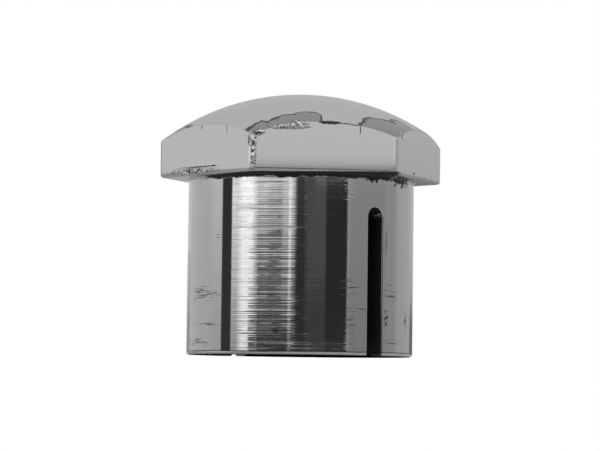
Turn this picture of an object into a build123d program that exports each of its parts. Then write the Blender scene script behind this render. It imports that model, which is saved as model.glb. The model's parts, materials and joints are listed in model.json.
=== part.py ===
from build123d import *

import os
from math import cos, radians, sqrt, tan

# Sleeve nut: a domed hexagon head on a slotted sleeve with a blind threaded bore.
#
# One piece, turned from hexagon bar. The sleeve passes down through a yoke and screws
# onto a stem. Two slots, cut right across it, let a pinch bolt in the yoke close the
# sleeve onto the stem's thread.
#
# Frame: millimetres, +Z up the axis. The origin is the centre of the open rim, which the
# nut stands on. Two opposite corners of the hexagon, and the slots under them, lie on X.

# Thread: one inch, 24 turns to the inch. The bore's wall stands at the thread's crests.
thread_diameter = 25.4
thread_pitch = 1.0583
thread_depth = 0.5413 * thread_pitch

# Sleeve: the outside, one and a quarter inch, is the bearing surface in the yoke.
sleeve_wall = 3.175  # outside the roots of the thread
sleeve_length = 24.6
rim_chamfer = 0.35

# Head: hexagon bar with a dome turned on its end. It overhangs the sleeve as a flange.
head_overhang = 1.5875  # at the middle of a flat
corner_height = 5.0  # from the underside to the dome, at the sharp corners of the bar
dome_radius = 32.0
corner_round = 0.9  # upright corners, softened by polishing before the plating
dome_edge_round = 0.3
under_edge_round = 0.55
under_head_fillet = 0.4

# Bore: countersunk at the mouth, with a relief past the last turn of the thread.
mouth_clearance = 0.95  # from the roots of the thread to the edge of the countersink
mouth_angle = 45.0  # between the countersink and the axis
bore_past_sleeve = 1.9  # from the underside of the head up to the blind end
relief_width = 2.5
relief_clearance = 0.25  # beyond the roots of the thread

# Clamping slots: one cut of a round cutter across both walls.
slot_width = 2.5
slot_to_head = 4.3  # from the closed end of the slot to the underside of the head
slot_edge_break = 0.15

# Places that follow from the sizes above.
crest_radius = thread_diameter / 2 - thread_depth
relief_radius = thread_diameter / 2 + relief_clearance
mouth_radius = thread_diameter / 2 + mouth_clearance
sleeve_radius = thread_diameter / 2 + sleeve_wall
across_flats = 2 * (sleeve_radius + head_overhang)
sharp_corner_radius = across_flats / 2 / cos(radians(30))

countersink_depth = (mouth_radius - crest_radius) / tan(radians(mouth_angle))
bore_end = sleeve_length + bore_past_sleeve
thread_end = bore_end - relief_width
slot_centre_height = sleeve_length - slot_to_head - slot_width / 2
dome_centre = sleeve_length + corner_height - sqrt(dome_radius**2 - sharp_corner_radius**2)
overall_height = dome_centre + dome_radius


def make_head():
    """Hexagon bar with soft corners, cut back to the dome, with its edges rounded."""
    with BuildPart() as head:
        with BuildSketch(Plane.XY.offset(sleeve_length)):
            RegularPolygon(across_flats / 2, side_count=6, major_radius=False)
        extrude(amount=overall_height - sleeve_length)
        fillet(head.edges().filter_by(Axis.Z), corner_round)
        with Locations((0, 0, dome_centre)):
            Sphere(dome_radius, mode=Mode.INTERSECT)
        fillet(head.faces().sort_by(Axis.Z)[0].edges(), under_edge_round)
        fillet(head.faces().sort_by(Axis.Z)[-1].edges(), dome_edge_round)
    return head.part


def make_sleeve():
    """The turned sleeve below the head, with its rim chamfered."""
    with BuildPart() as sleeve:
        with BuildSketch(Plane.YZ) as profile:
            Rectangle(sleeve_radius, sleeve_length, align=(Align.MIN, Align.MIN))
            chamfer(profile.vertices().sort_by_distance((sleeve_radius, 0))[0], rim_chamfer)
        revolve(axis=Axis.Z)
    return sleeve.part


def make_blank():
    """Head and sleeve as one piece, with a fillet where they meet."""
    blank = make_head() + make_sleeve()
    junction = [
        edge
        for edge in blank.edges().filter_by(GeomType.CIRCLE)
        if abs(edge.radius - sleeve_radius) < 1e-6
        and abs(edge.arc_center.Z - sleeve_length) < 1e-6
    ]
    return fillet(junction, under_head_fillet)


def make_bore():
    """The space of the bore: the countersunk mouth, the thread's crests and the relief."""
    with BuildPart() as bore:
        with BuildSketch(Plane.YZ):
            with BuildLine():
                Polyline(
                    (0, 0),
                    (mouth_radius, 0),
                    (crest_radius, countersink_depth),
                    (crest_radius, thread_end),
                    (relief_radius, thread_end),
                    (relief_radius, bore_end),
                    (0, bore_end),
                    close=True,
                )
            make_face()
        revolve(axis=Axis.Z)
    return bore.part


def make_slot_cut():
    """The cutter's path: a bar with a round upper edge that runs across both walls."""
    with BuildPart() as cut:
        with BuildSketch(Plane.YZ):
            with Locations((0, slot_centre_height)):
                Circle(slot_width / 2)
                Rectangle(slot_width, 2 * sleeve_length, align=(Align.CENTER, Align.MAX))
        extrude(amount=2 * sleeve_radius, both=True)
    return cut.part


def slot_outline(nut):
    """The edges where the slots break through the outside of the sleeve."""
    near = 0.01
    outline = []
    for edge in nut.edges():
        middle = edge @ 0.5
        on_outside = abs(sqrt(middle.X**2 + middle.Y**2) - sleeve_radius) < near
        in_slot = abs(middle.Y) < slot_width / 2 + near
        below_head = middle.Z < sleeve_length - under_head_fillet - near
        if on_outside and in_slot and below_head:
            outline.append(edge)
    return outline


def make_nut():
    """The blank, bored and slotted, with the outer edges of the slots broken."""
    nut = make_blank() - make_bore() - make_slot_cut()
    return chamfer(slot_outline(nut), slot_edge_break)


sleeve_nut = make_nut()

os.makedirs("parts", exist_ok=True)
export_step(sleeve_nut, "parts/sleeve_nut.step")
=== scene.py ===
import json
from math import cos, pi, radians, sin, sqrt, tan

import bmesh
import bpy
from mathutils import Matrix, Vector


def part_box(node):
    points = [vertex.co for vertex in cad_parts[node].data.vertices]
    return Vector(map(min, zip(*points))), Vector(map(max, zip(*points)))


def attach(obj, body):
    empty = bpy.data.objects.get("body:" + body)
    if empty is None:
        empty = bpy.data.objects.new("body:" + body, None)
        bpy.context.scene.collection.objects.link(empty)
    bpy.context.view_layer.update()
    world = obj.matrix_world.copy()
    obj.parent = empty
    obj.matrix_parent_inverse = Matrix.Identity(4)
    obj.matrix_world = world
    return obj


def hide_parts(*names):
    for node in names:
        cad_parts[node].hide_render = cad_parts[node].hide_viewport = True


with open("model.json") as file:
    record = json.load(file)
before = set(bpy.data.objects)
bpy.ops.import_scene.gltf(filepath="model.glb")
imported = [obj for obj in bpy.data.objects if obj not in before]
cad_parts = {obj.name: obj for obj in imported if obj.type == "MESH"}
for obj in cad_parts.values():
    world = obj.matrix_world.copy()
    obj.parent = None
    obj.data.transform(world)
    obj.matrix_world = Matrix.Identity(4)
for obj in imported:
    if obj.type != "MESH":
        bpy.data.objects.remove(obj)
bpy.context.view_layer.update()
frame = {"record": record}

# ================================================================ the sleeve nut
# A steel nut, turned in one piece from hexagon bar: a domed head and a plain sleeve, with a
# blind threaded bore. Slots across the sleeve let a pinch bolt close it onto the stem. It is
# polished and plated with bright chromium, apart from the bore and the slots.

# ---------------------------------------------------------------- its turned profile
# The lathe gives the nut its profile. Every row of the surface is one ring, given here as
# the rule that the ring follows round the axis. The sizes that mate with other parts are
# those of the mounts.

mm = 0.001
mounts = {m["name"]: m for m in frame["record"]["mounts"]}
sleeve_radius = mounts["sleeve"]["dims"]["r_mm"] * mm
crest_radius = mounts["thread"]["dims"]["r_mm"] * mm
thread_length = mounts["thread"]["dims"]["length_mm"] * mm
thread_start = mounts["thread"]["pos_m"][2] - thread_length / 2
thread_end = thread_start + thread_length
underside = mounts["head_seat"]["pos_m"][2]
apothem = mounts["spanner_flat_back"]["pos_m"][1]
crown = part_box("sleeve_nut")[1][2]

thread_pitch = 25.4 / 24 * mm  # 24 turns to the inch
root_radius = 12.7 * mm
relief_radius = root_radius + 0.25 * mm
relief_width = 2.5 * mm
relief_corner = 0.3 * mm
bore_end = thread_end + relief_width
mouth_radius = crest_radius + thread_start  # a countersink of 45 degrees
dome_radius = 32.0 * mm
dome_centre = crown - dome_radius
corner_round = 0.9 * mm
dome_edge_inset = 0.2 * mm
dome_edge_drop = 0.16 * mm
under_edge_round = 0.55 * mm
head_fillet = 0.4 * mm
rim_break = 0.36 * mm
beside_edge = 0.1 * mm  # from an edge to the ring next to it, which keeps the edge crisp

rows = []


def ring(height, radius, hexagon=0.0, domed=0.0, twist=0.0):
    """One ring of the surface: where it stands, and how far it follows each rule."""
    rows.append((height, radius, hexagon, domed, twist))


def steps(count, start=0.0, end=1.0):
    """Even steps from start to end, both included."""
    return [start + (end - start) * k / count for k in range(count + 1)]


# Dome, from the pole out to the edge of the hexagon, with finer rings over the last part.
for share in steps(14, 0.0, 0.8)[:-1] + steps(20, 0.8, 0.985):
    ring(0.0, 0.0, hexagon=share, domed=1.0)
# The edge between dome and flats, softened by polishing.
for t in steps(6):
    ring(-dome_edge_drop * t * t, -dome_edge_inset * (1 - t) ** 2, hexagon=1.0, domed=1.0)
# Flats, from the dome down to the rounded lower edge.
flat_foot = underside + under_edge_round
for t in [0.01, 0.04] + steps(12, 0.1, 0.9) + [0.96, 0.99]:
    ring(flat_foot * t - dome_edge_drop * (1 - t), 0.0, hexagon=1.0, domed=1.0 - t)
for t in steps(6):
    ring(underside + under_edge_round * (1 - t) ** 2, -under_edge_round * t * t, hexagon=1.0)
# Seat under the head, then the fillet into the sleeve.
fillet_radius = sleeve_radius + head_fillet
for t in (0.05, 0.5, 0.95):
    ring(underside, t * fillet_radius - (1 - t) * under_edge_round, hexagon=1.0 - t)
for angle in steps(5, pi / 2, pi):
    ring(
        underside - head_fillet + head_fillet * sin(angle),
        fillet_radius + head_fillet * cos(angle),
    )
# Sleeve, then the broken edge of the rim, and the flat rim.
for height in steps(12, underside - head_fillet - beside_edge, rim_break + beside_edge):
    ring(height, sleeve_radius)
for angle in steps(7, 0, pi / 2):
    ring(rim_break - rim_break * sin(angle), sleeve_radius - rim_break + rim_break * cos(angle))
ring(0.0, sleeve_radius - rim_break - beside_edge)
ring(0.0, mouth_radius + beside_edge)
ring(0.0, mouth_radius)
# Thread: four ridges to a turn, two at its crest and two at its root. The turns run past both
# ends, and the surface's rule cuts them off at the countersink and at the relief.
ridges = ((0.0, crest_radius), (0.25, crest_radius), (0.5625, root_radius), (0.6875, root_radius))
turns = round((thread_end + 2 * thread_pitch) / thread_pitch)
for turn in range(-1, turns + 1):
    for phase, radius in ridges:
        ring((turn + phase) * thread_pitch, radius, twist=1.0)
# Relief past the last turn, with a small corner, and the flat blind end.
for height, radius in (
    (thread_end, relief_radius),
    (bore_end - relief_corner, relief_radius),
    (bore_end - relief_corner / 3, relief_radius - relief_corner / 3),
    (bore_end, relief_radius - relief_corner),
    (bore_end, relief_radius - 1.0 * mm),
    (bore_end, 0.0),
):
    ring(height, radius)

profile = bpy.data.meshes.new("turned_profile")
profile.from_pydata([(radius, 0.0, height) for height, radius, *rule in rows], [], [])
for column, name in enumerate(("height", "radius", "hexagon", "domed", "twist")):
    values = profile.attributes.new(name, "FLOAT", "POINT")
    values.data.foreach_set("value", [row[column] for row in rows])
nut = bpy.data.objects.new("nut_body", profile)
bpy.context.scene.collection.objects.link(nut)

# ---------------------------------------------------------------- its slots
# One pass of a round cutter leaves two slots in the sleeve, open at the rim. The cutter's
# body flares where it leaves the sleeve, which breaks the outer edges of the slots.

slot_half = 1.25 * mm
slot_centre = 19.05 * mm
slot_edge = 0.3 * mm
cutter_foot = -2 * mm
cutter_inside = 6 * mm  # where the body starts, from the axis
cutter_outside = 0.3 * mm  # how far it runs on past the flare
flare_turn = radians(60)


def slot_ring(bm, side, distance, flare):
    """The cutter's outline at one distance from the nut's axis."""
    half = slot_half + flare
    outline = [(-half, cutter_foot), (-half, slot_centre / 2)]
    outline += [(half * -cos(a), slot_centre + half * sin(a)) for a in steps(25, 0, pi)]
    outline += [(half, slot_centre / 2), (half, cutter_foot)]
    return [bm.verts.new((side * sqrt(distance**2 - y**2), y, z)) for y, z in outline]


def flare_stations():
    """Distances from the axis and the flare there: a turn through an angle, then straight."""
    start = sleeve_radius - slot_edge * sin(flare_turn)
    turn = [
        (start + slot_edge * sin(a), slot_edge * (1 - cos(a))) for a in steps(4, 0, flare_turn)
    ]
    last_distance, last_flare = turn[-1]
    end = (last_distance + cutter_outside, last_flare + cutter_outside * tan(flare_turn))
    return [(cutter_inside, 0.0), *turn, end]


def make_cutter():
    """The cutter's body, from one end to the other."""
    bm = bmesh.new()
    stations = flare_stations()
    rings = [slot_ring(bm, -1, distance, flare) for distance, flare in reversed(stations)]
    rings += [slot_ring(bm, 1, distance, flare) for distance, flare in stations]
    for first, second in zip(rings, rings[1:]):
        for k in range(len(first)):
            n = (k + 1) % len(first)
            bm.faces.new((first[k], first[n], second[n], second[k]))
    bm.faces.new(rings[0])
    bm.faces.new(reversed(rings[-1]))
    bmesh.ops.recalc_face_normals(bm, faces=bm.faces)
    mesh = bpy.data.meshes.new("slot_cutter")
    bm.to_mesh(mesh)
    bm.free()
    made = bpy.data.objects.new("slot_cutter", mesh)
    bpy.context.scene.collection.objects.link(made)
    return made


cutter = make_cutter()

# ---------------------------------------------------------------- its surface
# The rings are swept round the axis in one tree. Where a ring follows the hexagon, its
# radius is that of the bar with soft corners, and where it is domed, its height is the
# dome's. The thread climbs as it goes round. The slots are then cut.

columns = 36  # from a corner of the hexagon to the middle of a flat
corner_crowding = 0.7  # how far the columns draw together at the corners, up to one
weld = 0.0005 * mm
math_node = "ShaderNodeMath"


def add(tree, kind, inputs=(), **settings):
    """Adds a node, sets its properties, and feeds its inputs with sockets, nodes or values."""
    made = tree.nodes.new(kind)
    for name, value in settings.items():
        setattr(made, name, value)
    for key, value in dict(inputs).items():
        if isinstance(value, bpy.types.Node):
            value = value.outputs[0]
        if isinstance(value, bpy.types.NodeSocket):
            tree.links.new(value, made.inputs[key])
        else:
            made.inputs[key].default_value = value
    return made


def nut_tree():
    """The rule of the nut: rings, hexagon, dome and thread, cut by the slot cutter."""
    tree = bpy.data.node_groups.new("turned_hexagon_nut", "GeometryNodeTree")
    face = tree.interface
    face.new_socket("Rings", in_out="INPUT", socket_type="NodeSocketGeometry")
    face.new_socket("Columns", in_out="INPUT", socket_type="NodeSocketInt")
    for name in (
        "Apothem",
        "Corner Round",
        "Dome Radius",
        "Dome Centre",
        "Thread Pitch",
        "Thread End",
        "Relief Radius",
        "Mouth Radius",
    ):
        face.new_socket(name, in_out="INPUT", socket_type="NodeSocketFloat")
    face.new_socket("Cutter", in_out="INPUT", socket_type="NodeSocketObject")
    face.new_socket("Material", in_out="INPUT", socket_type="NodeSocketMaterial")
    face.new_socket("Nut", in_out="OUTPUT", socket_type="NodeSocketGeometry")
    given = add(tree, "NodeGroupInput").outputs

    # A flat net: one line of points for each ring, twelve times the columns round it.
    ring_count = add(tree, "GeometryNodeAttributeDomainSize", {0: given["Rings"]})
    around = add(tree, math_node, {0: given["Columns"], 1: 12.0}, operation="MULTIPLY")
    seam = add(tree, math_node, {0: around, 1: 1.0}, operation="ADD")
    net = add(tree, "GeometryNodeMeshGrid", {"Vertices X": seam, "Vertices Y": ring_count})
    index = add(tree, "GeometryNodeInputIndex")
    row = add(tree, math_node, {0: index, 1: ring_count}, operation="MODULO")
    column_value = add(tree, math_node, {0: index, 1: ring_count}, operation="DIVIDE")
    column = add(tree, math_node, {0: column_value}, operation="FLOOR")

    # The angle round the axis: columns are close together at the corners of the hexagon.
    pair = add(tree, math_node, {0: given["Columns"], 1: 2.0}, operation="MULTIPLY")
    sector_value = add(tree, math_node, {0: column, 1: pair}, operation="DIVIDE")
    sector = add(tree, math_node, {0: sector_value}, operation="ROUND")
    past = add(tree, math_node, {0: sector_value, 1: sector}, operation="SUBTRACT")
    side = add(tree, math_node, {0: past}, operation="SIGN")
    reach_half = add(tree, math_node, {0: past}, operation="ABSOLUTE")
    reach = add(tree, math_node, {0: reach_half, 1: 2.0}, operation="MULTIPLY")
    square = add(tree, math_node, {0: reach, 1: reach}, operation="MULTIPLY")
    crowded = add(tree, math_node, {0: square, 1: corner_crowding}, operation="MULTIPLY")
    spread = add(
        tree, math_node, {0: reach, 1: 1.0 - corner_crowding, 2: crowded}, operation="MULTIPLY_ADD"
    )
    from_corner = add(tree, math_node, {0: spread, 1: radians(30)}, operation="MULTIPLY")
    signed = add(tree, math_node, {0: from_corner, 1: side}, operation="MULTIPLY")
    angle = add(
        tree, math_node, {0: sector, 1: radians(60), 2: signed}, operation="MULTIPLY_ADD"
    )

    # The bar's outline: a flat, or near the corner the arc of its rounding.
    to_flat = add(tree, math_node, {0: radians(30), 1: from_corner}, operation="SUBTRACT")
    cos_flat = add(tree, math_node, {0: to_flat}, operation="COSINE")
    on_flat = add(tree, math_node, {0: given["Apothem"], 1: cos_flat}, operation="DIVIDE")
    inner = add(
        tree, math_node, {0: given["Apothem"], 1: given["Corner Round"]}, operation="SUBTRACT"
    )
    arc_centre = add(tree, math_node, {0: inner, 1: cos(radians(30))}, operation="DIVIDE")
    cos_corner = add(tree, math_node, {0: from_corner}, operation="COSINE")
    sin_corner = add(tree, math_node, {0: from_corner}, operation="SINE")
    along = add(tree, math_node, {0: arc_centre, 1: cos_corner}, operation="MULTIPLY")
    off = add(tree, math_node, {0: arc_centre, 1: sin_corner}, operation="MULTIPLY")
    off_square = add(tree, math_node, {0: off, 1: off}, operation="MULTIPLY")
    round_square = add(
        tree, math_node, {0: given["Corner Round"], 1: given["Corner Round"]}, operation="MULTIPLY"
    )
    left = add(tree, math_node, {0: round_square, 1: off_square}, operation="SUBTRACT")
    clear = add(tree, math_node, {0: left, 1: 0.0}, operation="MAXIMUM")
    chord = add(tree, math_node, {0: clear}, operation="SQRT")
    on_arc = add(tree, math_node, {0: along, 1: chord}, operation="ADD")
    inner_edge = add(tree, math_node, {0: inner, 1: tan(radians(30))}, operation="MULTIPLY")
    tangent_slope = add(
        tree, math_node, {0: inner_edge, 1: given["Apothem"]}, operation="DIVIDE"
    )
    tangent_angle = add(tree, math_node, {0: tangent_slope}, operation="ARCTANGENT")
    is_flat = add(tree, math_node, {0: to_flat, 1: tangent_angle}, operation="LESS_THAN")
    outline = add(tree, "ShaderNodeMix", {0: is_flat, 2: on_arc, 3: on_flat}, data_type="FLOAT")

    # What this ring follows, read from the profile.
    rule = {}
    for name in ("height", "radius", "hexagon", "domed", "twist"):
        named = add(tree, "GeometryNodeInputNamedAttribute", {"Name": name}, data_type="FLOAT")
        rule[name] = add(
            tree,
            "GeometryNodeSampleIndex",
            {0: given["Rings"], 1: named, "Index": row},
            data_type="FLOAT",
        )

    # Radius and height of the ring at this angle.
    bare_radius = add(
        tree,
        math_node,
        {0: rule["hexagon"], 1: outline, 2: rule["radius"]},
        operation="MULTIPLY_ADD",
    )
    radius_square = add(tree, math_node, {0: bare_radius, 1: bare_radius}, operation="MULTIPLY")
    dome_square = add(
        tree, math_node, {0: given["Dome Radius"], 1: given["Dome Radius"]}, operation="MULTIPLY"
    )
    dome_left = add(tree, math_node, {0: dome_square, 1: radius_square}, operation="SUBTRACT")
    dome_rise = add(tree, math_node, {0: dome_left}, operation="SQRT")
    dome_height = add(
        tree, math_node, {0: dome_rise, 1: given["Dome Centre"]}, operation="ADD"
    )
    stand = add(
        tree,
        math_node,
        {0: rule["domed"], 1: dome_height, 2: rule["height"]},
        operation="MULTIPLY_ADD",
    )
    turned = add(tree, math_node, {0: angle, 1: 2 * pi}, operation="DIVIDE")
    climb = add(tree, math_node, {0: turned, 1: given["Thread Pitch"]}, operation="MULTIPLY")
    lifted = add(
        tree, math_node, {0: rule["twist"], 1: climb, 2: stand}, operation="MULTIPLY_ADD"
    )

    # A turn of thread stops at the rim below and at the relief above.
    plain = add(tree, math_node, {0: 1.0, 1: rule["twist"]}, operation="SUBTRACT")
    ceiling = add(tree, math_node, {0: plain, 1: given["Thread End"]}, operation="ADD")
    held = add(tree, math_node, {0: lifted, 1: ceiling}, operation="MINIMUM")
    height = add(tree, math_node, {0: held, 1: 0.0}, operation="MAXIMUM")
    past_end = add(
        tree, math_node, {0: lifted, 1: given["Thread End"]}, operation="GREATER_THAN"
    )
    in_relief = add(tree, math_node, {0: past_end, 1: rule["twist"]}, operation="MULTIPLY")
    run_out = add(
        tree,
        "ShaderNodeMix",
        {0: in_relief, 2: bare_radius, 3: given["Relief Radius"]},
        data_type="FLOAT",
    )
    countersink = add(
        tree, math_node, {0: given["Mouth Radius"], 1: height}, operation="SUBTRACT"
    )
    radius = add(tree, math_node, {0: run_out, 1: countersink}, operation="MAXIMUM")

    # The net is bent to that shape, and its seam and poles are closed.
    cosine = add(tree, math_node, {0: angle}, operation="COSINE")
    sine = add(tree, math_node, {0: angle}, operation="SINE")
    x = add(tree, math_node, {0: radius, 1: cosine}, operation="MULTIPLY")
    y = add(tree, math_node, {0: radius, 1: sine}, operation="MULTIPLY")
    place = add(tree, "ShaderNodeCombineXYZ", {0: x, 1: y, 2: height})
    shaped = add(tree, "GeometryNodeSetPosition", {0: net, "Position": place})
    closed = add(tree, "GeometryNodeMergeByDistance", {0: shaped, "Distance": weld})
    outward = add(tree, "GeometryNodeFlipFaces", {0: closed})

    cutting = add(tree, "GeometryNodeObjectInfo", {0: given["Cutter"]})
    slotted = add(
        tree,
        "GeometryNodeMeshBoolean",
        {"Mesh 1": outward, "Mesh 2": cutting.outputs["Geometry"]},
        operation="DIFFERENCE",
        solver="EXACT",
    )
    real = add(tree, "GeometryNodeRealizeInstances", {0: slotted})
    finished = add(tree, "GeometryNodeSetMaterial", {0: real, "Material": given["Material"]})
    add(tree, "NodeGroupOutput", {0: finished})
    return tree


# ---------------------------------------------------------------- its plate, and the wear
# Bright chromium over nickel on polished steel: a hard grey mirror, on which the lathe's marks
# on the sleeve still show. The edges of the head have lost their plate in places, one corner is
# pitted, and old grease sits under the head. Some marks are painted light and shade: glints
# among the pits, the dark lines round the flakes and at the rim, and a band under the head.

mm_in_a_metre = 1000.0
vector_node = "ShaderNodeVectorMath"
noise_node = "ShaderNodeTexNoise"
ramp_node = "ShaderNodeMapRange"  # value, start, end, and what it gives at start and at end
mirror_roughness = 0.05
at_sleeve = sleeve_radius / mm  # millimetres from the axis to the sleeve
at_flat = 17.46  # and to the flats of the head


def linear(code):
    """The linear colour of an sRGB hex code, with full alpha."""
    shares = [int(code[k : k + 2], 16) / 255 for k in (1, 3, 5)]
    return [s / 12.92 if s <= 0.04045 else ((s + 0.055) / 1.055) ** 2.4 for s in shares] + [1.0]


chrome = bpy.data.materials.new("bright_chromium_plate")
chrome.use_nodes = True
plate = chrome.node_tree
shader = plate.nodes["Principled BSDF"]

where = add(plate, "ShaderNodeTexCoord")
in_mm = add(
    plate, vector_node, {0: where.outputs["Object"], "Scale": mm_in_a_metre}, operation="SCALE"
)
place = add(plate, "ShaderNodeSeparateXYZ", {0: in_mm})
height_mm = place.outputs["Z"]
across = add(plate, vector_node, {0: in_mm, 1: (1, 1, 0)}, operation="MULTIPLY")
from_axis = add(plate, vector_node, {0: across}, operation="LENGTH").outputs["Value"]
faced = add(plate, "ShaderNodeNewGeometry")
facing = add(plate, "ShaderNodeSeparateXYZ", {0: faced.outputs["Normal"]})

# The place of a patch wavers, by up to 1 mm over some 2 mm for torn plate and by a fraction
# of that for pits and scars, so that no outline is smooth.
middle = (0.5, 0.5, 0.5)
torn = add(plate, noise_node, {"Vector": in_mm, "Scale": 0.5, "Detail": 2.0, "Roughness": 0.45})
torn_way = add(plate, vector_node, {0: torn.outputs["Color"], 1: middle}, operation="SUBTRACT")
torn_mm = add(
    plate, vector_node, {0: torn_way, 1: (2.2, 2.2, 1.2), 2: in_mm}, operation="MULTIPLY_ADD"
)
grain = add(plate, noise_node, {"Vector": in_mm, "Scale": 2.2, "Detail": 2.0})
grain_way = add(plate, vector_node, {0: grain.outputs["Color"], 1: middle}, operation="SUBTRACT")
near_mm = add(
    plate, vector_node, {0: grain_way, 1: (0.35, 0.35, 0.3), 2: in_mm}, operation="MULTIPLY_ADD"
)


def patches(places, point):
    """Millimetres to the nearest of some rounded patches, below zero inside one.

    A place is the bearing that the patch faces, in degrees from X, and in millimetres its
    distance from the axis, how far it lies along, its height, and half its depth, width
    and height.
    """
    nearest = None
    for bearing, distance, along, height, deep, wide, tall in places:
        turn = radians(bearing)
        centre = (
            distance * cos(turn) - along * sin(turn),
            distance * sin(turn) + along * cos(turn),
            height,
        )
        size = (deep, wide, tall)
        inside = add(
            plate,
            "ShaderNodeMapping",
            {"Vector": point, "Location": centre, "Rotation": (0, 0, turn), "Scale": size},
            vector_type="TEXTURE",
        )
        reach = add(plate, vector_node, {0: inside}, operation="LENGTH").outputs["Value"]
        least = min(size)
        gap = add(plate, math_node, {0: reach, 1: least, 2: -least}, operation="MULTIPLY_ADD")
        if nearest is None:
            nearest = gap
        else:
            nearest = add(plate, math_node, {0: nearest, 1: gap}, operation="MINIMUM")
    return nearest


# Plate flaked from the dome along its edge, down to the duller nickel. A dark line runs round
# each flake: partly broken plate, partly painted shade that stands for the step at the plate's
# edge. The front flat faces a bearing of -30, between corners at -60 and 0, and the flats beside
# it face -90 and 30.
flakes = (
    (-60, 19.8, 0.6, 31.0, 2.4, 1.85, 4.0),
    (-30, 16.8, -5.5, 31.0, 2.0, 2.2, 4.0),
    (-30, 16.6, -2.3, 31.5, 2.1, 1.9, 4.0),
    (0, 18.2, -0.5, 31.0, 2.7, 4.0, 4.0),
    (0, 17.0, 4.1, 31.0, 1.9, 1.8, 4.0),
    (-12, 17.7, 0.9, 31.0, 1.5, 1.2, 4.0),
    (-90, 17.2, -6.8, 31.0, 0.9, 3.3, 1.2),
)
on_dome = add(plate, ramp_node, {0: facing.outputs["Z"], 1: 0.55, 2: 0.75})
flake_gap = patches(flakes, torn_mm)
flaked_plan = add(plate, ramp_node, {0: flake_gap, 1: 0.03, 2: -0.03})
flaked = add(plate, math_node, {0: flaked_plan, 1: on_dome}, operation="MULTIPLY")
rim_away = add(plate, math_node, {0: flake_gap}, operation="ABSOLUTE")
rim_line = add(plate, ramp_node, {0: rim_away, 1: 0.24, 2: 0.11})
rim_plate_and_shade = add(plate, math_node, {0: rim_line, 1: on_dome}, operation="MULTIPLY")

# Pits, along the worn edges, down one corner, under one flat, and a few on the sleeve. They
# are about 0.4 mm wide, wider than real ones, so that they show.
pitted_places = (
    (-30, 17.05, -3.7, 31.3, 0.6, 1.5, 0.45),
    (-30, 17.35, -5.6, 30.9, 0.32, 2.9, 0.4),
    (-30, 17.3, -9.3, 30.1, 0.6, 0.9, 0.6),
    (-60, 19.9, 0.12, 27.9, 0.8, 0.36, 3.3),
    (0, 19.1, 2.0, 30.3, 0.6, 0.5, 0.7),
    (-90, 17.3, -2.6, 25.2, 0.6, 5.3, 0.5),
    (0, 14.8, 1.1, 19.3, 0.8, 0.5, 0.5),
    (8.0, at_sleeve, 0.0, 5.3, 0.5, 0.5, 1.7),
    (27.0, at_sleeve, 0.0, 5.2, 0.5, 0.7, 1.5),
)
pitted = add(plate, ramp_node, {0: patches(pitted_places, near_mm), 1: 0.1, 2: -0.25})
pits = add(plate, noise_node, {"Vector": in_mm, "Scale": 2.5, "Detail": 2.0, "Roughness": 0.55})
hollow = add(plate, ramp_node, {0: pits.outputs["Fac"], 1: 0.48, 2: 0.42})
pit = add(plate, math_node, {0: hollow, 1: pitted}, operation="MULTIPLY")

# Painted highlights: near-white, half-matt specks between the pits stand for glints of light on
# the bruised metal, on the head and at the closed end of the slot, less at the head's lower
# edge, and not on the foot of the sleeve. A painted highlight line runs up a corner.
painted_glint_line_place = ((-60, 19.75, -0.36, 26.8, 0.45, 0.15, 1.7),)
bright = add(plate, ramp_node, {0: pits.outputs["Fac"], 1: 0.55, 2: 0.6})
glint_head = add(plate, ramp_node, {0: height_mm, 1: 25.6, 2: 26.6, 3: 0.3, 4: 1.0})
glint_slot = add(plate, ramp_node, {0: height_mm, 1: 22.0, 2: 21.0})
glint_low = add(plate, math_node, {0: glint_head, 1: glint_slot}, operation="MAXIMUM")
glint_share = add(plate, math_node, {0: bright, 1: glint_low}, operation="MULTIPLY")
glint_pit = add(plate, math_node, {0: glint_share, 1: pitted}, operation="MULTIPLY")
off_foot = add(plate, ramp_node, {0: height_mm, 1: 10.0, 2: 16.0})
glint_spot = add(plate, math_node, {0: glint_pit, 1: off_foot}, operation="MULTIPLY")
glint_line = add(plate, ramp_node, {0: patches(painted_glint_line_place, near_mm), 1: 0.04, 2: -0.05})
painted_glint = add(plate, math_node, {0: glint_spot, 1: glint_line}, operation="MAXIMUM")

# Scars, cut through the plate: torn ones, and straight thin ones.
torn_scars = (
    (-30, 17.5, 0.75, 31.58, 0.4, 1.75, 0.34),
    (-60, 19.75, -0.55, 28.9, 0.4, 0.12, 0.8),
    (-90, at_flat, -1.2, 25.75, 0.3, 3.6, 0.09),
    (-90, at_flat, 1.9, 25.75, 0.3, 0.6, 0.14),
    (30, at_flat, -2.7, 25.3, 0.3, 0.5, 0.22),
    (30, at_flat, 2.5, 25.1, 0.3, 0.2, 0.1),
    (30, at_flat, 5.3, 25.4, 0.3, 0.15, 0.1),
)
thin_scars = (
    (-30, 17.4, 2.9, 31.4, 0.35, 0.85, 0.08),
    (-30, 17.4, 4.2, 31.24, 0.35, 0.8, 0.08),
    (-30, at_flat, 4.85, 30.6, 0.3, 0.07, 0.6),
    (-90, at_flat, 4.73, 30.7, 0.3, 0.07, 0.65),
    (-90, at_flat, -0.75, 31.2, 0.3, 0.09, 0.3),
    (7.3, at_sleeve, 0.0, 15.5, 0.3, 0.08, 1.9),
)
torn_scar = add(plate, ramp_node, {0: patches(torn_scars, near_mm), 1: 0.04, 2: -0.05})
thin_scar = add(plate, ramp_node, {0: patches(thin_scars, in_mm), 1: 0.03, 2: -0.03})
scar = add(plate, math_node, {0: torn_scar, 1: thin_scar}, operation="MAXIMUM")

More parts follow.
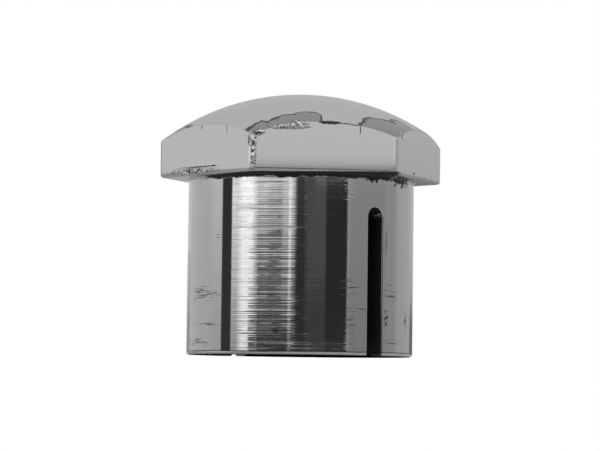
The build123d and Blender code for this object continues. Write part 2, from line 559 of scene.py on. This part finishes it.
# Scuffs on the sleeve: bundles of scratches round it, some 3 mm long and 0.2 mm apart.
scuffed_places = (
    (-15.5, at_sleeve, 0.0, 9.3, 0.7, 2.0, 1.3),
    (-12.5, at_sleeve, 0.0, 6.2, 0.7, 1.7, 0.5),
    (-14.5, at_sleeve, 0.0, 4.6, 0.7, 0.8, 0.8),
    (11.5, at_sleeve, 0.0, 8.6, 0.7, 1.4, 1.4),
    (14.0, at_sleeve, 0.0, 1.7, 0.7, 2.7, 0.5),
    (-97.0, at_sleeve, 0.0, 8.4, 0.9, 4.2, 1.1),
    (-95.0, at_sleeve, 0.0, 4.2, 0.9, 3.6, 0.5),
    (-106.0, at_sleeve, 0.0, 1.6, 0.9, 4.5, 0.5),
    (-85.5, at_sleeve, 0.0, 16.4, 0.7, 0.55, 0.8),
)
scratch_at = add(plate, "ShaderNodeMapping", {0: in_mm, "Scale": (0.35, 0.35, 6.0)})
scratches = add(
    plate, noise_node, {"Vector": scratch_at, "Scale": 1.0, "Detail": 2.0, "Roughness": 0.6}
)
scratched = add(plate, ramp_node, {0: scratches.outputs["Fac"], 1: 0.53, 2: 0.6})
scuffed = add(plate, ramp_node, {0: patches(scuffed_places, torn_mm), 1: 0.15, 2: -0.25})
scuff = add(plate, math_node, {0: scratched, 1: scuffed}, operation="MULTIPLY")

# In the corner under the head: a ragged black band of painted shade on the side that the front
# flat faces, a little higher at one end, and beside it two crumbly clumps of old grease, black
# with dust.
clump_places = ((-2, 15.9, 0.0, 24.4, 0.8, 0.8, 0.45), (19, 15.9, 0.0, 24.4, 0.9, 2.5, 0.8))
band_faces = (cos(radians(-40)), sin(radians(-40)), 0)
front_runs = (sin(radians(30)), cos(radians(30)), 0)
clump_gap = patches(clump_places, torn_mm)
clump_rough = add(
    plate, math_node, {0: grain.outputs["Fac"], 1: 2.4, 2: clump_gap}, operation="MULTIPLY_ADD"
)
clumps = add(plate, ramp_node, {0: clump_rough, 1: 1.3, 2: 1.1})
crumbly = add(plate, ramp_node, {0: pits.outputs["Fac"], 1: 0.36, 2: 0.46})
crumbs = add(plate, math_node, {0: clumps, 1: crumbly}, operation="MULTIPLY")
ragged = add(plate, noise_node, {"Vector": in_mm, "Scale": 0.8, "Detail": 2.0})
ragged_height = add(
    plate, math_node, {0: ragged.outputs["Fac"], 1: -0.9, 2: height_mm}, operation="MULTIPLY_ADD"
)
over_edge = add(plate, ramp_node, {0: ragged_height, 1: 23.66, 2: 23.8})
along_front = add(plate, vector_node, {0: in_mm, 1: front_runs}, operation="DOT_PRODUCT")
leaning = add(
    plate,
    math_node,
    {0: along_front.outputs["Value"], 1: -0.019, 2: height_mm},
    operation="MULTIPLY_ADD",
)
under_edge = add(plate, ramp_node, {0: leaning, 1: 24.96, 2: 24.84})
band_height = add(plate, math_node, {0: over_edge, 1: under_edge}, operation="MULTIPLY")
towards = add(plate, vector_node, {0: in_mm, 1: band_faces}, operation="DOT_PRODUCT")
band_side = add(plate, ramp_node, {0: towards.outputs["Value"], 1: 8.5, 2: 9.5})
band_long = add(plate, math_node, {0: band_height, 1: band_side}, operation="MULTIPLY")
before_corner = add(plate, ramp_node, {0: along_front.outputs["Value"], 1: 11.3, 2: 10.1})
shade_band = add(plate, math_node, {0: band_long, 1: before_corner}, operation="MULTIPLY")
# The painted shade band and the grease clumps together.
grease_and_shade = add(plate, math_node, {0: shade_band, 1: crumbs}, operation="MAXIMUM")

# A painted reflection: a dark line where the broken edge of the rim starts, painted in for the
# dark that the rounded edge reflects.
line_noise = add(plate, noise_node, {"Vector": in_mm, "Scale": 0.9, "Detail": 2.0})
line_height = add(
    plate,
    math_node,
    {0: line_noise.outputs["Fac"], 1: 0.12, 2: height_mm},
    operation="MULTIPLY_ADD",
)
line_away = add(plate, math_node, {0: line_height, 1: 0.56}, operation="SUBTRACT")
line_gap = add(plate, math_node, {0: line_away}, operation="ABSOLUTE")
painted_rim_reflection = add(plate, ramp_node, {0: line_gap, 1: 0.1, 2: 0.04, 3: 0.0, 4: 0.75})

# The bore and the slots were never plated: bare steel, gone dull.
in_bore = add(plate, ramp_node, {0: from_axis, 1: 15.72, 2: 15.62})
above_rim = add(plate, ramp_node, {0: height_mm, 1: 0.02, 2: 0.1})
below_end = add(plate, ramp_node, {0: height_mm, 1: 27.0, 2: 26.9})
bare_low = add(plate, math_node, {0: in_bore, 1: above_rim}, operation="MULTIPLY")
bare = add(plate, math_node, {0: bare_low, 1: below_end}, operation="MULTIPLY")

# Colour and gloss, from the plate down to what lies under and over it, painted light and shade
# among them.
colour = linear("#B4B4B5")
for share, code in (
    (flaked, "#878787"),
    (rim_plate_and_shade, "#343332"),
    (bare, "#7A7672"),
    (pit, "#2C2A28"),
    (painted_glint, "#F2F2F2"),
    (scar, "#3A3836"),
    (scuff, "#706E6C"),
    (painted_rim_reflection, "#2E2D2C"),
    (grease_and_shade, "#151413"),
):
    mixed = add(
        plate, "ShaderNodeMix", {0: share, 6: colour, 7: linear(code)}, data_type="RGBA"
    )
    colour = mixed.outputs[2]
plate.links.new(colour, shader.inputs["Base Color"])
gloss = mirror_roughness
for share, roughness in (
    (flaked, 0.14),
    (rim_plate_and_shade, 0.5),
    (pit, 0.4),
    (scar, 0.3),
    (scuff, 0.25),
    (bare, 0.42),
    (grease_and_shade, 0.6),
):
    mixed = add(plate, "ShaderNodeMix", {0: share, 2: gloss, 3: roughness}, data_type="FLOAT")
    gloss = mixed.outputs[0]
plate.links.new(gloss, shader.inputs["Roughness"])
# The painted glints, the dark lines round the flakes and the grease and shade are less metallic.
glint_and_torn_dull = add(plate, math_node, {0: painted_glint, 1: rim_plate_and_shade}, operation="MAXIMUM")
dull = add(plate, math_node, {0: glint_and_torn_dull, 1: grease_and_shade}, operation="MAXIMUM")
metal = add(plate, math_node, {0: dull, 1: -0.8, 2: 1.0}, operation="MULTIPLY_ADD")
plate.links.new(metal.outputs[0], shader.inputs["Metallic"])

# Turning marks: straight lines round the sleeve, at 0.2 mm and at 0.8 mm, drawn coarser than
# real ones so that they show. They are deepest on the side that a bearing of -57 degrees
# faces, deeper in some stretches than in others, faint under the head, and shallower in one
# narrow stretch near the foot.
mark_depth_mm = 0.007
worn_faces = (cos(radians(-57)), sin(radians(-57)), 0)
shallow_height = 2.9
fine_marks = add(
    plate,
    noise_node,
    {"W": height_mm, "Scale": 4.6, "Detail": 1.0, "Roughness": 0.5},
    noise_dimensions="1D",
)
deep_marks = add(
    plate,
    noise_node,
    {"W": height_mm, "Scale": 1.3, "Detail": 2.0, "Roughness": 0.6},
    noise_dimensions="1D",
)
marks = add(
    plate,
    math_node,
    {0: deep_marks.outputs["Fac"], 1: 1.8, 2: fine_marks.outputs["Fac"]},
    operation="MULTIPLY_ADD",
)
stretch_at = add(plate, "ShaderNodeMapping", {0: in_mm, "Scale": (0.45, 0.45, 1.2)})
stretches = add(plate, noise_node, {"Vector": stretch_at, "Scale": 1.0, "Detail": 2.0})
uneven = add(plate, ramp_node, {0: stretches.outputs["Fac"], 1: 0.35, 2: 0.62, 3: 0.25, 4: 1.5})
worn_way = add(plate, vector_node, {0: in_mm, 1: worn_faces}, operation="DOT_PRODUCT")
worn_side = add(plate, ramp_node, {0: worn_way.outputs["Value"], 1: 14.6, 2: 15.4, 3: 0.2, 4: 1.0})
high_faint = add(plate, ramp_node, {0: height_mm, 1: 24.4, 2: 19.0, 3: 0.35, 4: 1.0})
below_head = add(plate, ramp_node, {0: height_mm, 1: 24.6, 2: 24.3})
marked_high = add(plate, math_node, {0: high_faint, 1: below_head}, operation="MULTIPLY")
marked_side = add(plate, math_node, {0: marked_high, 1: worn_side}, operation="MULTIPLY")
from_shallow = add(plate, math_node, {0: height_mm, 1: shallow_height}, operation="SUBTRACT")
shallow_gap = add(plate, math_node, {0: from_shallow}, operation="ABSOLUTE")
shallow = add(plate, ramp_node, {0: shallow_gap, 1: 0.6, 2: 1.3, 3: 0.5, 4: 1.0})
marked_low = add(plate, math_node, {0: marked_side, 1: shallow}, operation="MULTIPLY")
mark_strength = add(plate, math_node, {0: marked_low, 1: uneven}, operation="MULTIPLY")
level = add(plate, math_node, {0: marks, 1: 1.4}, operation="SUBTRACT")
cut = add(plate, math_node, {0: level, 1: mark_strength}, operation="MULTIPLY")

# On one side of the sleeve fine crossing marks make reflections ragged: strongly near the
# foot, less near the head, and a little all the way between.
crossing_side = None
for crossed_place, strength in (
    ((-15.5, at_sleeve, 0.0, 22.2, 0.6, 0.9, 2.6), 0.75),
    ((-15.1, at_sleeve, 0.0, 2.0, 0.6, 0.8, 2.6), 1.7),
    ((-16, at_sleeve, 0.0, 12.0, 0.6, 0.8, 14.0), 0.3),
):
    crossed_gap = patches((crossed_place,), in_mm)
    crossed = add(plate, ramp_node, {0: crossed_gap, 1: 0.2, 2: -0.3, 3: 0.0, 4: strength})
    if crossing_side is None:
        crossing_side = crossed
    else:
        crossing_side = add(
            plate, math_node, {0: crossing_side, 1: crossed}, operation="MAXIMUM"
        )
crossing_at = add(plate, "ShaderNodeMapping", {0: in_mm, "Scale": (1.2, 1.2, 5.0)})
crossing = add(plate, noise_node, {"Vector": crossing_at, "Scale": 1.0, "Detail": 1.0})
crossing_level = add(plate, math_node, {0: crossing.outputs["Fac"], 1: 0.5}, operation="SUBTRACT")
all_cut = add(
    plate, math_node, {0: crossing_level, 1: crossing_side, 2: cut}, operation="MULTIPLY_ADD"
)
turned = add(
    plate, "ShaderNodeBump", {"Strength": 1.0, "Distance": mark_depth_mm * mm, "Height": all_cut}
)

# Relief of the damage: a flake lies 0.012 mm deep, pits are up to 0.35 mm deep, and the
# clumps of dirt stand up by as much as 0.3 mm.
step = add(plate, math_node, {0: flaked, 1: -0.012}, operation="MULTIPLY")
rough_high = add(plate, math_node, {0: pitted, 1: off_foot}, operation="MULTIPLY")
roughened = add(plate, math_node, {0: pits.outputs["Fac"], 1: rough_high}, operation="MULTIPLY")
lumps = add(plate, math_node, {0: pits.outputs["Fac"], 1: grease_and_shade}, operation="MULTIPLY")
pitting = add(plate, math_node, {0: roughened, 1: 0.35, 2: step}, operation="MULTIPLY_ADD")
damage = add(plate, math_node, {0: lumps, 1: 0.3, 2: pitting}, operation="MULTIPLY_ADD")
broken = add(
    plate,
    "ShaderNodeBump",
    {"Strength": 1.0, "Distance": 1.0 * mm, "Height": damage, "Normal": turned},
)
plate.links.new(broken.outputs[0], shader.inputs["Normal"])

# ---------------------------------------------------------------- the finished nut
# The rule is given its sizes and run once. Its result becomes a plain mesh, which stands for
# the whole solid and rides on the part's only body.

crisp_from = radians(22)

tree = nut_tree()
rule_of_nut = nut.modifiers.new("turned_hexagon_nut", "NODES")
rule_of_nut.node_group = tree
given_values = {
    "Columns": columns,
    "Apothem": apothem,
    "Corner Round": corner_round,
    "Dome Radius": dome_radius,
    "Dome Centre": dome_centre,
    "Thread Pitch": thread_pitch,
    "Thread End": thread_end,
    "Relief Radius": relief_radius,
    "Mouth Radius": mouth_radius,
    "Cutter": cutter,
    "Material": chrome,
}
for item in tree.interface.items_tree:
    if item.item_type == "SOCKET" and item.name in given_values:
        rule_of_nut[item.identifier] = given_values[item.name]

depsgraph = bpy.context.evaluated_depsgraph_get()
surface = bpy.data.meshes.new_from_object(nut.evaluated_get(depsgraph))
nut.modifiers.remove(rule_of_nut)
nut.data = surface
bpy.data.objects.remove(cutter)
for polygon in surface.polygons:
    polygon.use_smooth = True
surface.set_sharp_from_angle(angle=crisp_from)

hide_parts("sleeve_nut")
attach(nut, "root")

# ================================================================ the camera
# A long lens, a little below the level of the rim and tilted slightly up. It faces the
# front flat of the head, with one slot of the sleeve on its right.

camera_angle = radians(-40.4)
camera_distance = 428.6 * mm
camera_height = -4.83 * mm
camera_pitch = radians(3.1004)
camera_yaw = radians(-0.0151)
camera_roll = radians(0.73)
camera_lens = 182.76
camera_data = bpy.data.cameras.new("camera")
camera_data.lens = camera_lens
camera_data.clip_start = 0.01
camera = bpy.data.objects.new("camera", camera_data)
bpy.context.scene.collection.objects.link(camera)
camera.location = (
    camera_distance * cos(camera_angle),
    camera_distance * sin(camera_angle),
    camera_height,
)
heading = camera_angle + pi / 2 - camera_yaw
camera.rotation_euler = (
    Matrix.Rotation(heading, 3, "Z")
    @ Matrix.Rotation(pi / 2 + camera_pitch, 3, "X")
    @ Matrix.Rotation(camera_roll, 3, "Z")
).to_euler()
bpy.context.scene.camera = camera
bpy.context.scene.view_settings.view_transform = "Standard"

# ================================================================ the table
# A wide sheet of white paper on which the nut stands. It takes the nut's shadow, and it is
# clear from underneath, so that it hides nothing from a low camera.

half_span = 3.0
corners = [(x * half_span, y * half_span, 0) for x, y in ((-1, -1), (1, -1), (1, 1), (-1, 1))]
floor_mesh = bpy.data.meshes.new("floor")
floor_mesh.from_pydata(corners, [], [(0, 1, 2, 3)])
floor = bpy.data.objects.new("floor", floor_mesh)
bpy.context.scene.collection.objects.link(floor)

# Matt white paper: its soft fibres spread the light, so it has no sheen.
paper = bpy.data.materials.new("matt_white_paper")
paper.use_nodes = True
sheet = paper.node_tree
sheet_shader = sheet.nodes["Principled BSDF"]
sheet_shader.inputs["Base Color"].default_value = linear("#F2F2F2")
sheet_shader.inputs["Roughness"].default_value = 0.8
turned_away = add(sheet, "ShaderNodeNewGeometry")
see_through = add(sheet, "ShaderNodeBsdfTransparent")
both_sides = add(
    sheet,
    "ShaderNodeMixShader",
    {0: turned_away.outputs["Backfacing"], 1: sheet_shader, 2: see_through},
)
sheet.links.new(both_sides.outputs[0], sheet.nodes["Material Output"].inputs["Surface"])
floor_mesh.materials.append(paper)

# ================================================================ the light
# A white room that lights the nut evenly, and one large softbox overhead for the shadow. The
# camera, mirrors and glass see the room as plain white.

room_light = 0.75
world = bpy.data.worlds.new("studio")
bpy.context.scene.world = world
world.use_nodes = True
room = world.node_tree
path = add(room, "ShaderNodeLightPath")
seen = add(
    room,
    math_node,
    {0: path.outputs["Is Camera Ray"], 1: path.outputs["Is Glossy Ray"]},
    operation="MAXIMUM",
)
shown = add(
    room, math_node, {0: seen, 1: path.outputs["Is Transmission Ray"]}, operation="MAXIMUM"
)
room_strength = add(room, ramp_node, {0: shown, 3: room_light, 4: 1.0})
background = room.nodes["Background"]
background.inputs["Color"].default_value = (1, 1, 1, 1)
room.links.new(room_strength.outputs[0], background.inputs["Strength"])

lamp_data = bpy.data.lights.new("overhead_softbox", "AREA")
lamp_data.energy = 3.0
lamp_data.size = 0.5
lamp = bpy.data.objects.new("overhead_softbox", lamp_data)
bpy.context.scene.collection.objects.link(lamp)
lamp.location = (0.1, 0.1, 0.9)
lamp.visible_camera = False
lamp.visible_glossy = False

# ================================================================ the cards
# Studio cards of grey, black and lit white card stand on edge in a ring round the nut. Only
# its mirror sees them. They give the sleeve its upright bands, and the flats their tones.

card_distance = 350 * mm
layer_gap = 4 * mm
foot_height = 0.05 * mm
foot_gap = 0.01 * mm

# Matt card, lit from behind to a brightness that changes over its height. It glows evenly,
# without gloss, and its ends fade out over the cards behind it.
card_stock = bpy.data.materials.new("backlit_card")
card_stock.use_nodes = True
stock = card_stock.node_tree
stock.nodes.remove(stock.nodes["Principled BSDF"])
glow_here = add(stock, "ShaderNodeAttribute", attribute_name="glow")
cover_here = add(stock, "ShaderNodeAttribute", attribute_name="cover")
lit = add(stock, "ShaderNodeEmission", {"Strength": glow_here.outputs["Fac"]})
open_air = add(stock, "ShaderNodeBsdfTransparent")
faded = add(stock, "ShaderNodeMixShader", {0: cover_here.outputs["Fac"], 1: open_air, 2: lit})
stock.links.new(faded.outputs[0], stock.nodes["Material Output"].inputs["Surface"])


def card(name, layer, first, last, levels, feather=1.5, foot=(), cove=()):
    """A studio card between two bearings, in degrees to the right of the camera.

    Its levels are heights in millimetres with the brightness there. A foot goes on below
    them as a strip on the table, in towards the nut: reach and brightness. A cove goes on
    above them: reach, height and brightness. Layer 0 stands in front of the others.
    """
    away = card_distance + layer * layer_gap
    section = [(away, height * mm, brightness) for height, brightness in levels]
    section += [(reach * mm, height * mm, brightness) for reach, height, brightness in cove]
    on_table = foot_height - layer * foot_gap
    section = [(reach * mm, on_table, brightness) for reach, brightness in foot] + section
    bearings = [first - feather, first + feather]
    bearings += steps(12, first + feather, last - feather)[1:-1]
    bearings += [last - feather, last + feather]
    points, glow, cover, faces = [], [], [], []
    for k, bearing in enumerate(bearings):
        angle = camera_angle + radians(bearing)
        for reach, height, brightness in section:
            points.append((reach * cos(angle), reach * sin(angle), height))
            glow.append(brightness)
            cover.append(0.0 if k in (0, len(bearings) - 1) else 1.0)
    n = len(section)
    for k in range(len(bearings) - 1):
        for j in range(n - 1):
            faces.append((k * n + j, (k + 1) * n + j, (k + 1) * n + j + 1, k * n + j + 1))
    mesh = bpy.data.meshes.new(name)
    mesh.from_pydata(points, [], faces)
    for attribute, values in (("glow", glow), ("cover", cover)):
        mesh.attributes.new(attribute, "FLOAT", "POINT").data.foreach_set("value", values)
    made = bpy.data.objects.new(name, mesh)
    bpy.context.scene.collection.objects.link(made)
    mesh.materials.append(card_stock)
    made.visible_camera = False
    made.visible_diffuse = False
    made.visible_shadow = False


# Walls all round, at the back of the other cards.
front_wall_foot = [(16.5, 0.5), (40, 0.5), (75, 0.48), (150, 0.45), (340, 0.38)]
back_cove = [(330, 250, 0.72), (230, 380, 0.88), (90, 450, 0.94)]
back_right_levels = [(1, 0.2), (12, 0.2), (20, 0.5), (30, 0.62)]
back_left_levels = [(1, 0.42), (12, 0.42), (20, 0.55), (30, 0.62)]
card("left_wall", 3, -182, -80, [(1, 0.72), (49, 0.78)], 2, foot=[(16.5, 0.5), (340, 0.5)])
card("front_wall", 3, -79, 49, [(1, 0.35), (3.5, 0.04), (50, 0.05)], 2, foot=front_wall_foot)
card(
    "right_wall",
    3,
    45,
    182,
    [(1, 0.58), (49, 0.66), (62, 0.72), (80, 0.72)],
    2,
    foot=[(16.5, 0.42), (340, 0.45)],
)
card("back_wall", 4, 114, 246, [(40, 0.45), (60, 0.46), (120, 0.55)], 8, cove=back_cove)
card("back_table_right", 0, 148, 182, back_right_levels, 3, foot=[(16.5, 0.3), (340, 0.22)])
card("back_table_left", 1, 178, 212, back_left_levels, 3, foot=[(16.5, 0.42), (340, 0.42)])

# To the left: a pale screen, a dark flag, a bright strip light with its wing, and the edges
# of two tables, dark with a lamp over them.
wing_levels = [(1, 0.62), (17, 0.66), (24, 1.0), (32, 1.0), (38, 1.2), (49, 1.8)]
wing_foot = [(16.5, 0.8), (40, 0.6), (75, 0.24), (340, 0.2)]
strip_levels = [(1, 1.25), (8, 1.7), (14, 1.7), (20, 1.6), (32, 1.7), (38, 1.9), (50, 2.3)]
strip_foot = [(16.5, 1), (40, 0.75), (75, 0.3), (340, 0.25)]
edge_flag_foot = [(16.5, 0.28), (40, 0.21), (75, 0.084), (340, 0.07)]
left_table_levels = [(1, 0.18), (5, 0.13), (8, 0.03), (14, 0.04), (16, 0.3), (19, 0.4)]
left_table_levels += [(24, 0.36), (29, 0.24), (34, 0.3), (38, 0.52), (46, 1.5), (50, 1.6)]
middle_table_levels = [(1, 0.12), (5, 0.1), (8, 0.03), (14, 0.04), (16, 0.3), (19, 0.42)]
middle_table_levels += [(24, 0.36), (28, 0.2), (31, 0.13), (38, 0.28), (44, 0.8), (50, 1.5)]
table_foot = [(16.5, 0.4), (40, 0.3), (75, 0.2), (150, 0.1), (340, 0.05)]
table_corner_levels = [(1, 0.2), (9, 0.12), (12, 0.25), (17, 0.5)]
card(
    "left_screen",
    2,
    -100,
    -83,
    [(1, 0.62), (15, 0.7), (33, 0.85), (49, 0.95)],
    5,
    foot=[(16.5, 0.5), (340, 0.62)],
)
card("left_strip_wing", 2, -76, -52, wing_levels, 1.0, foot=wing_foot)
card("left_table", 2, -50, -28, left_table_levels, 5, foot=table_foot)
card("middle_table", 2, -30, -10, middle_table_levels, 4, foot=table_foot)
card("left_table_corner", 0, -52.3, -44, table_corner_levels, 1.2)
card("left_strip_light", 1, -63, -46, strip_levels, 3.5, foot=strip_foot)
card("left_edge_flag", 0, -85, -72.4, [(1, 0.06), (60, 0.05)], 0.5, foot=edge_flag_foot)

# In front: a narrow strip light with a glow round it, beside a black flag.
glow_levels = [(1, 0.05), (8, 0.06), (14, 0.12), (20, 0.4), (32, 0.6), (42, 1.0), (50, 1.5)]
narrow_levels = [(1, 0.15), (8, 0.25), (14, 0.6), (20, 0.85), (32, 1.3), (42, 1.7), (50, 1.8)]
front_flag_foot = [(16.5, 0.5), (40, 0.45), (75, 0.3), (150, 0.14), (340, 0.06)]
card("front_strip_glow", 1, -18, -4.5, glow_levels, 1.8)
card("front_strip_light", 0, -12, -9.0, narrow_levels, 0.5)
card(
    "front_flag",
    0,
    -5.2,
    5,
    [(1, 0.05), (30, 0.05), (46, 0.08), (75, 0.08)],
    2.4,
    foot=front_flag_foot,
)

# To the right: dark screens and a flag, with a strip light high over the flag, and beyond
# them grey panels.
right_screen_levels = [(1, 0.35), (3.5, 0.08), (17, 0.08), (25, 0.13), (50, 0.13)]
panel_foot = [(16.5, 0.6), (40, 0.45), (75, 0.18), (340, 0.15)]
card("right_screen", 1, 3, 26, right_screen_levels, 1.5)
card("right_screen_high", 0, 5, 14, [(49, 0.12), (75, 0.12)], 1.5)
card("right_flag", 0, 25, 46.8, [(1, 0.35), (3.5, 0.045), (50, 0.035)], 1.0)
card("right_strip_light", 2, 27, 40, [(51, 1.25), (75, 1.25)], 2)
card("right_panel_edge", 2, 80, 112, [(1, 0.44), (20, 0.48), (49, 0.5)], 4)
card("right_panel", 1, 47, 93, [(1, 0.36), (20, 0.40), (49, 0.44)], 4, foot=panel_foot)
